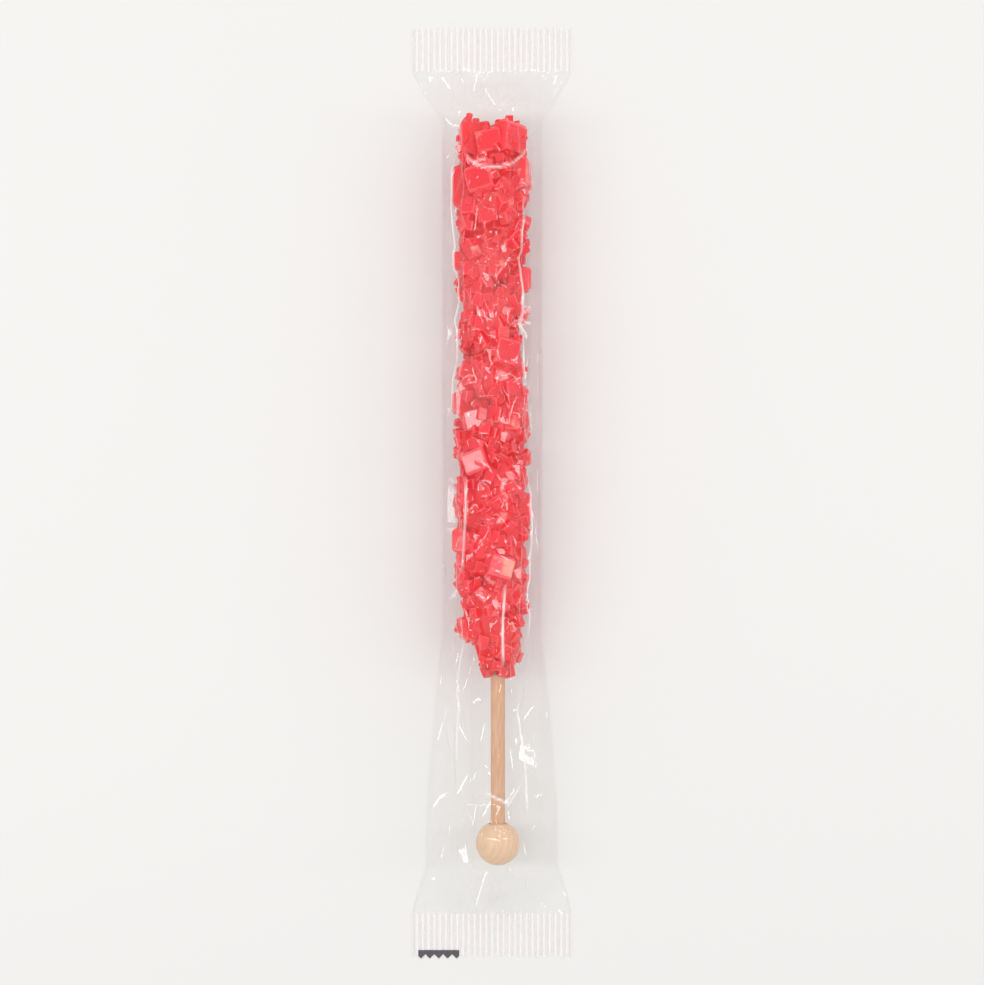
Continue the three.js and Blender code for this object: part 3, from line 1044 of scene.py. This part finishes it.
def facetCorners(facet, seed):
    # corners spread unevenly over the unrolled film, a height from 0 to 1 for each, and the
    # triangles between them
    draw = seededDraw(seed)
    across, lengthwise = facet
    spanS = flatWidth + 8
    spanY = sleeveHalf + 12
    points = []
    heights = []
    rows = int(2 * spanY / lengthwise) + 1
    columns = int(2 * spanS / across) + 1
    for i in range(rows):
        for k in range(columns):
            s = -spanS + (k + 0.5 * (i % 2) + 0.9 * (draw() - 0.5)) * across
            y = -spanY + (i + 0.9 * (draw() - 0.5)) * lengthwise
            points.append(Vector((s, y)))
            heights.append(draw())
    flat, _, triangles, *_ = delaunay_2d_cdt(points, [], [], 0, 1e-6)
    return flat, heights, triangles


def creasedSheet(facet, seed):
    # flat facets between straight creases: heights from 0 to 1 over the unrolled film
    flat, heights, triangles = facetCorners(facet, seed)
    raised = [Vector((p.x, p.y, h)) for p, h in zip(flat, heights)]
    tree = BVHTree.FromPolygons(raised, triangles)

    def height(s, y):
        hit = tree.ray_cast(Vector((s, y, 5)), Vector((0, 0, -1)))[0]
        return hit.z if hit else 0.5

    return height


def sleeveRows():
    # stations along the sleeve, each with how far it lies out into the crimp, from 0 to 1
    rows = []
    crimpRows = 8
    for i in range(crimpRows):
        rows.append((-sealY, 1 - i / crimpRows))
    count = round(2 * sealY / film["rowMm"])
    for i in range(count + 1):
        rows.append((-sealY + 2 * sealY * i / count, 0.0))
    for i in range(crimpRows):
        rows.append((sealY, (i + 1) / crimpRows))
    return rows


def topSheet(rows):
    # the smooth upper side of the film: a grid of points, each with its direction outwards
    sheet = []
    for y, _ in rows:
        inside = min(max(y, -bodyY), bodyY)
        shape = {key: along([(at, part[key]) for at, part in rounds], inside) for key in ballRound}
        line = upperLine(halfBaseFor(shape), shape)
        sheet.append((resampled(line, film["topColumns"]), lineLength(line)))
    return sheet


def roomUnder(sheet, rows, wrapped):
    # how far the film may go in before it touches what it wraps, evened out over its neighbours
    room = []
    farthest = (film["deepestMm"] + 1) * mm
    for (y, out), (line, _) in zip(rows, sheet):
        depths = []
        for x, z, outX, outZ in line:
            hit = None
            if out == 0:
                hit = wrapped.ray_cast(Vector((x, y, z)) * mm, Vector((-outX, 0, -outZ)), farthest)[3]
            depths.append(max(hit / mm - film["offCandyMm"], 0) if hit else film["deepestMm"])
        room.append(depths)
    for settle in (min, lambda near: sum(near) / len(near)):
        room = [[settle(line[max(k - 3, 0):k + 4]) for k in range(len(line))] for line in room]
        columns = [[settle(line[max(i - 2, 0):i + 3]) for i in range(len(line))] for line in zip(*room)]
        room = [list(line) for line in zip(*columns)]
    return room


def stretchedFlat(sheet, rows):
    # how deep the film lies under the smooth sheet where it is stretched flat from corner to
    # corner, each corner itself a little way in
    flat, heights, triangles = facetCorners(film["wideFacetMm"], film["seed"])
    body = [(y, line, total) for (y, out), (line, total) in zip(rows, sheet) if out == 0]
    corners = []
    for (s, y), height in zip(flat, heights):
        row = round((y + sealY) / (2 * sealY) * (len(body) - 1))
        y, line, total = body[min(max(row, 0), len(body) - 1)]
        place = min(max((0.5 - s / total) * film["topColumns"], 0), film["topColumns"])
        k = min(int(place), film["topColumns"] - 1)
        x, z, outX, outZ = (a + (b - a) * (place - k) for a, b in zip(line[k], line[k + 1]))
        deep = height * along([(c[0], c[1]) for c in creasing], y)
        corners.append((x - outX * deep, z - outZ * deep))
    tree = BVHTree.FromPolygons([Vector((s, y, 0)) for s, y in flat], triangles)

    def depth(s, y, x, z, outX, outZ):
        hit, _, index, _ = tree.ray_cast(Vector((s, y, 5)), Vector((0, 0, -1)))
        if not hit:
            return 0.0
        ends = triangles[index]
        a, b, c = (flat[k] for k in ends)
        area = (b - a).cross(c - a)
        here = Vector((s, y))
        shares = ((b - here).cross(c - here), (c - here).cross(a - here), (a - here).cross(b - here))
        across = sum(corners[k][0] * share for k, share in zip(ends, shares)) / area
        up = sum(corners[k][1] * share for k, share in zip(ends, shares)) / area
        return max((x - across) * outX + (z - up) * outZ, 0)

    return depth


def ridgeAt(x):
    return film["ridgeDepthMm"] * (0.5 + 0.5 * math.cos(2 * math.pi * x / film["ridgeMm"]))


def foldAt(s, y):
    # 1 on a standing fold, 0 beside it and at its ends
    highest = 0.0
    half = film["foldHalfWidthMm"]
    for line in standingFolds:
        whole = lineLength(line)
        passed = 0.0
        for (s0, y0), (s1, y1) in zip(line, line[1:]):
            length = math.dist((s0, y0), (s1, y1))
            if min(y0, y1) - half < y < max(y0, y1) + half:
                t = min(max(((s - s0) * (s1 - s0) + (y - y0) * (y1 - y0)) / length ** 2, 0), 1)
                aside = math.dist((s, y), (s0 + (s1 - s0) * t, y0 + (y1 - y0) * t))
                fromEnd = min(passed + t * length, whole - passed - t * length)
                highest = max(highest, (1 - aside / half) * min(1, 6 * fromEnd / whole))
            passed += length
    return highest


def filmMesh(wrapped):
    small = creasedSheet(film["smallFacetMm"], film["seed"] + 1)
    crumpled = creasedSheet(film["crumpledMm"], film["seed"] + 5)
    underside = creasedSheet(film["lowerFacetMm"], film["seed"] + 2)
    draw = seededDraw(film["seed"] + 3)
    pleats = {}
    for end in (-1, 1):
        x = -flatWidth
        pleats[end] = []
        while x < flatWidth:
            pleats[end].append((x, draw()))
            x += film["pleatMm"] * (0.5 + draw())
    topCount = film["topColumns"]
    backCount = film["backColumns"]
    rows = sleeveRows()
    sheet = topSheet(rows)
    stretched = stretchedFlat(sheet, rows)
    room = roomUnder(sheet, rows, wrapped)
    vertices = []
    unrolled = []
    for (y, out), (line, total), depths in zip(rows, sheet, room):
        end = 1 if y > 0 else -1
        drop = min(max((sealY - abs(y)) / film["shoulderMm"], 0), 1)
        share = drop ** film["sag"]
        depthSmall, depthPleat = (along([(c[0], c[k]) for c in creasing], y) for k in (2, 3))
        flatness = 1 - min(max((sealY - abs(y)) / 1.5, 0), 1)
        ring = []
        for i, (x, z, outX, outZ) in enumerate(line):
            flatX = flatWidth / 2 * (1 - 2 * i / topCount)
            s = total * (0.5 - i / topCount)
            edge = min(1, 6 * min(i, topCount - i) / topCount, 4 * drop)
            # the crumpled patches have the small facets, and most of them are near the seals
            crumple = min(max(3 * crumpled(s, y) - 0.2 - drop, 0), 1)
            deep = edge * (
                stretched(s, y, x, z, outX, outZ)
                + depthSmall * small(s, y) * crumple
                + depthPleat * along(pleats[end], flatX * (1 - 0.25 * drop))
            )
            folded = foldAt(s, y)
            deep = min(deep, depths[i]) - film["foldHeightMm"] * folded
            pressedZ = film["sealMm"] + ridgeAt(flatX) * flatness
            unrolled.append((s, y, folded))
            px = flatX + (x - flatX) * share - outX * deep
            pz = pressedZ + (z - pressedZ) * share - outZ * deep
            ring.append([px, pz])
        leftX = ring[-1][0]
        rightX = ring[0][0]

        def underAt(x):
            # height of the lower side, with its hems, its lengthwise seal and its slack
            fromFold = max(min(x - leftX, rightX - x), 0)
            hem = max(0, 1 - fromFold / film["hemMm"]) ** 2 * film["foldMm"] * share
            fin = film["finMm"] * min(max((abs(x) - film["finHalfMm"]) / 0.3, 0), 1) * drop
            slack = 0
            if abs(x) > film["finHalfMm"]:
                slack = film["slackMm"] * underside(x, y) * drop * min(1, fromFold / 3)
            return film["offTableMm"] + hem + fin + slack + ridgeAt(x) * flatness

        for place in ring[1:-1]:
            place[1] = max(place[1], underAt(place[0]) + film["sealMm"] - film["offTableMm"])
        for j in range(1, backCount):
            x = leftX + (rightX - leftX) * j / backCount
            unrolled.append((x + 60, y, 0))
            ring.append([x, underAt(x)])
        for x, z in ring:
            toothed = 1 - abs(((x / film["toothMm"]) % 1) * 2 - 1)
            reach = film["crimpMm"] - film["toothDepthMm"] * toothed
            vertices.append((x * mm, (y + end * out * reach) * mm, z * mm))
    size = topCount + backCount
    faces = []
    for i in range(len(rows) - 1):
        for k in range(size):
            a = i * size + k
            b = i * size + (k + 1) % size
            faces.append((a, a + size, b + size, b))
    for base in (0, (len(rows) - 1) * size):
        i = 0
        j = 0
        top = [base + k for k in range(topCount + 1)]
        back = [base] + [base + size - k for k in range(1, backCount)] + [base + topCount]
        while i < topCount or j < backCount:
            if i < topCount and (j == backCount or (i + 1) / topCount <= (j + 1) / backCount):
                corners = (top[i], top[i + 1], back[j])
                i += 1
            else:
                corners = (top[i], back[j + 1], back[j])
                j += 1
            if len(set(corners)) == 3:
                faces.append(corners)
    mesh = meshFrom("filmSleeve", vertices, faces)
    bm = bmesh.new()
    bm.from_mesh(mesh)
    bmesh.ops.recalc_face_normals(bm, faces=bm.faces)
    for edge in bm.edges:
        edge.smooth = edge.calc_face_angle(0) < math.radians(35)
    for face in bm.faces:
        face.smooth = True
    bm.to_mesh(mesh)
    bm.free()
    # the unrolled sheet's own millimetres and its standing folds, for its material
    spread = mesh.attributes.new("unrolled", "FLOAT_VECTOR", "POINT")
    for i, place in enumerate(unrolled):
        spread.data[i].vector = place
    return mesh


def filmMaterial():
    # Clear polypropylene film, 0.03 mm thick: it shows only by its glints, which run along
    # the creases and folds, and by a faint milky veil, with a printed grey eye mark
    material, tree = newMaterial("Clear polypropylene film")
    coords = addNode(tree, "ShaderNodeTexCoord").outputs["Object"]
    cloud = addNode(tree, "ShaderNodeTexNoise", {
        "Vector": coords,
        "Scale": 1 / (14 * mm),
        "Detail": 3.0,
    })
    haze = addNode(tree, "ShaderNodeMapRange", {
        "Value": cloud.outputs["Fac"],
        "From Min": 0.45,
        "From Max": 0.75,
        "To Min": 0.002,
        "To Max": 0.05,
    })
    sheet = addNode(tree, "ShaderNodeAttribute", attribute_name="unrolled")
    facets = addNode(tree, "ShaderNodeMapping", {
        "Vector": sheet.outputs["Vector"],
        "Rotation": (0, 0, 0.12),
        "Scale": (1 / film["finestFacetMm"][0], 1 / film["finestFacetMm"][1], 1),
    })
    cells = addNode(tree, "ShaderNodeTexVoronoi", {
        "Vector": facets.outputs["Vector"],
        "Scale": 1.0,
    }, voronoi_dimensions="2D")
    creases = addNode(tree, "ShaderNodeTexVoronoi", {
        "Vector": facets.outputs["Vector"],
        "Scale": 1.0,
    }, voronoi_dimensions="2D", feature="DISTANCE_TO_EDGE")
    # each small facet leans its own way, and a sharp crease stands up between two of them
    lean = addNode(tree, "ShaderNodeVectorMath", {
        0: cells.outputs["Color"],
        1: (0.5, 0.5, 0.5),
    }, operation="SUBTRACT")
    crinkled = addNode(tree, "ShaderNodeMapRange", {
        "Value": cloud.outputs["Fac"],
        "From Min": 0.35,
        "From Max": 0.65,
        "To Min": 0.02,
        "To Max": 0.22,
    })
    leaning = addNode(tree, "ShaderNodeVectorMath", {
        0: lean.outputs["Vector"],
        "Scale": crinkled.outputs["Result"],
    }, operation="SCALE")
    surface = addNode(tree, "ShaderNodeNewGeometry")
    leant = addNode(tree, "ShaderNodeVectorMath", {
        0: surface.outputs["Normal"],
        1: leaning.outputs["Vector"],
    }, operation="ADD")
    level = addNode(tree, "ShaderNodeVectorMath", {0: leant.outputs["Vector"]}, operation="NORMALIZE")
    fold = addNode(tree, "ShaderNodeMapRange", {
        "Value": creases.outputs["Distance"],
        "From Min": 0.0,
        "From Max": 0.07,
        "To Min": 1.0,
        "To Max": 0.0,
    })
    relief = addNode(tree, "ShaderNodeBump", {
        "Height": fold.outputs["Result"],
        "Strength": 1.0,
        "Distance": 0.1 * mm,
        "Normal": level.outputs["Vector"],
    })
    clear = addNode(tree, "ShaderNodeBsdfTransparent", {"Color": (1, 1, 1, 1)})
    gloss = addNode(tree, "ShaderNodeBsdfAnisotropic", {
        "Color": (1, 1, 1, 1),
        "Roughness": 0.05,
        "Normal": relief.outputs["Normal"],
    })
    veil = addNode(tree, "ShaderNodeBsdfDiffuse", {"Color": linearColour("#fdf8f8")})
    # the seals are frosted along their pressed ridges
    apart = addNode(tree, "ShaderNodeSeparateXYZ", {"Vector": coords})
    fromMiddle = addNode(tree, "ShaderNodeMath", {0: apart.outputs["Y"]}, operation="ABSOLUTE")
    frost = addNode(tree, "ShaderNodeMapRange", {
        "Value": fromMiddle.outputs[0],
        "From Min": (sealY - 0.6) * mm,
        "From Max": sealY * mm,
    })
    ridges = addNode(tree, "ShaderNodeMath", {
        0: apart.outputs["X"],
        1: math.tau / (film["ridgeMm"] * mm),
    }, operation="MULTIPLY")
    wave = addNode(tree, "ShaderNodeMath", {0: ridges.outputs[0]}, operation="COSINE")
    frosting = addNode(tree, "ShaderNodeMapRange", {
        "Value": wave.outputs[0],
        "From Min": -0.6,
        "From Max": 1.0,
        "To Min": 0.03,
        "To Max": 0.5,
    })
    frosted = addNode(tree, "ShaderNodeMath", {
        0: frost.outputs["Result"],
        1: frosting.outputs["Result"],
    }, operation="MULTIPLY")
    # folding whitens the film, and these white crease lines are also a painted highlight for the glints
    # along the creases
    flat = addNode(tree, "ShaderNodeSeparateXYZ", {"Vector": sheet.outputs["Vector"]})
    fineWhiteAndGlint = addNode(tree, "ShaderNodeMath", {
        0: fold.outputs["Result"],
        1: crinkled.outputs["Result"],
        2: -0.12,
    }, operation="MULTIPLY_ADD", use_clamp=True)
    foldWhiteAndGlint = addNode(tree, "ShaderNodeMapRange", {
        "Value": cloud.outputs["Fac"],
        "From Min": 0.35,
        "From Max": 0.6,
        "To Min": 0.5,
        "To Max": 0.8,
    })
    whitenedAndGlinting = addNode(tree, "ShaderNodeMath", {
        0: flat.outputs["Z"],
        1: foldWhiteAndGlint.outputs["Result"],
        2: fineWhiteAndGlint.outputs[0],
    }, operation="MULTIPLY_ADD")
    unfolded = addNode(tree, "ShaderNodeMath", {
        0: haze.outputs["Result"],
        1: frosted.outputs[0],
    }, operation="ADD")
    cloudy = addNode(tree, "ShaderNodeMath", {
        0: unfolded.outputs[0],
        1: whitenedAndGlinting.outputs[0],
    }, operation="ADD")
    milky = addNode(tree, "ShaderNodeMixShader", {
        0: cloudy.outputs[0],
        1: clear.outputs["BSDF"],
        2: veil.outputs["BSDF"],
    })
    # the film mirrors a little straight on and nearly all of it at a grazing angle,
    # the same from inside and outside
    facing = addNode(tree, "ShaderNodeLayerWeight", {"Blend": 0.5, "Normal": relief.outputs["Normal"]})
    steep = addNode(tree, "ShaderNodeMath", {0: facing.outputs["Facing"], 1: 5.0}, operation="POWER")
    mirrored = addNode(tree, "ShaderNodeMapRange", {
        "Value": steep.outputs[0],
        "To Min": 0.03,
        "To Max": 0.9,
    })
    filmLook = addNode(tree, "ShaderNodeMixShader", {
        0: mirrored.outputs["Result"],
        1: milky.outputs["Shader"],
        2: gloss.outputs["BSDF"],
    })
    # the printed mark that the wrapping machine finds its place by
    marked = 1.0
    for axis, (low, high) in film["markMm"].items():
        for value, operation in ((low, "GREATER_THAN"), (high, "LESS_THAN")):
            inside = addNode(tree, "ShaderNodeMath", {
                0: apart.outputs[axis],
                1: value * mm,
            }, operation=operation)
            both = addNode(tree, "ShaderNodeMath", {
                0: marked,
                1: inside.outputs[0],
            }, operation="MULTIPLY")
            marked = both.outputs[0]
    ink = addNode(tree, "ShaderNodeBsdfPrincipled", {
        "Base Color": linearColour("#4c484c"),
        "Roughness": 0.45,
    })
    printed = addNode(tree, "ShaderNodeMixShader", {
        0: marked,
        1: filmLook.outputs["Shader"],
        2: ink.outputs["BSDF"],
    })
    addNode(tree, "ShaderNodeOutputMaterial", {"Surface": printed.outputs["Shader"]})
    return material


def wrappedShapes(pieces):
    # one search tree over the candy, the dowel and the ball
    vertices = []
    faces = []
    for piece in pieces:
        start = len(vertices)
        vertices += [v.co.copy() for v in piece.data.vertices]
        faces += [[start + k for k in polygon.vertices] for polygon in piece.data.polygons]
    return BVHTree.FromPolygons(vertices, faces)


def makeFilm():
    print("film: wrapping")
    piece = newObject("filmSleeve", filmMesh(wrappedShapes([candyPiece, dowelPiece, ballPiece])))
    piece.data.materials.append(filmMaterial())
    print("film:", len(piece.data.polygons), "faces")
    return piece


filmPiece = makeFilm()
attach(filmPiece, "root")
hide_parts("wrapper")

# Stage, lights and camera

def makeStage():
    half = 1.2
    corners = [(-half, -half, 0), (half, -half, 0), (half, half, 0), (-half, half, 0)]
    mesh = meshFrom("floor", corners, [(0, 1, 2, 3)])
    floor = newObject("floor", mesh)
    material, tree = newMaterial("White paper sweep")
    paper = addNode(tree, "ShaderNodeBsdfPrincipled", {
        "Base Color": linearColour("#dcdbd9"),
        "Roughness": 0.9,
    })
    addNode(tree, "ShaderNodeOutputMaterial", {"Surface": paper.outputs["BSDF"]})
    mesh.materials.append(material)


def softLight(name, place, size, watts):
    # a softbox aimed at the middle of the stick
    lamp = bpy.data.lights.new(name, "AREA")
    lamp.shape = "RECTANGLE"
    lamp.size, lamp.size_y = size
    lamp.energy = watts
    holder = bpy.data.objects.new(name, lamp)
    holder.location = place
    holder.rotation_euler = (-Vector(place)).to_track_quat("-Z", "Y").to_euler()
    bpy.context.scene.collection.objects.link(holder)


makeStage()
softLight("left softbox", (-0.3, 0.0, 0.5), (0.05, 0.6), 1.0)
softLight("right softbox", (0.45, 0.0, 0.4), (0.03, 0.6), 0.7)
softLight("far softbox", (0.05, 0.5, 0.5), (0.5, 0.04), 0.6)
world = bpy.data.worlds.new("Studio")
bpy.context.scene.world = world
world.use_nodes = True
sky = world.node_tree.nodes["Background"]
sky.inputs["Color"].default_value = (1, 1, 1, 1)
sky.inputs["Strength"].default_value = 0.86
bpy.context.scene.view_settings.view_transform = "Standard"

halfView = 0.111  # of the floor, from the middle of the picture to its edge
lens = bpy.data.cameras.new("camera")
lens.lens = 90
lens.sensor_width = 36
lens.clip_start = 0.01
camera = bpy.data.objects.new("camera", lens)
camera.location = (0, 0, halfView / (lens.sensor_width / 2 / lens.lens))
bpy.context.scene.collection.objects.link(camera)
bpy.context.scene.camera = camera

print("done")
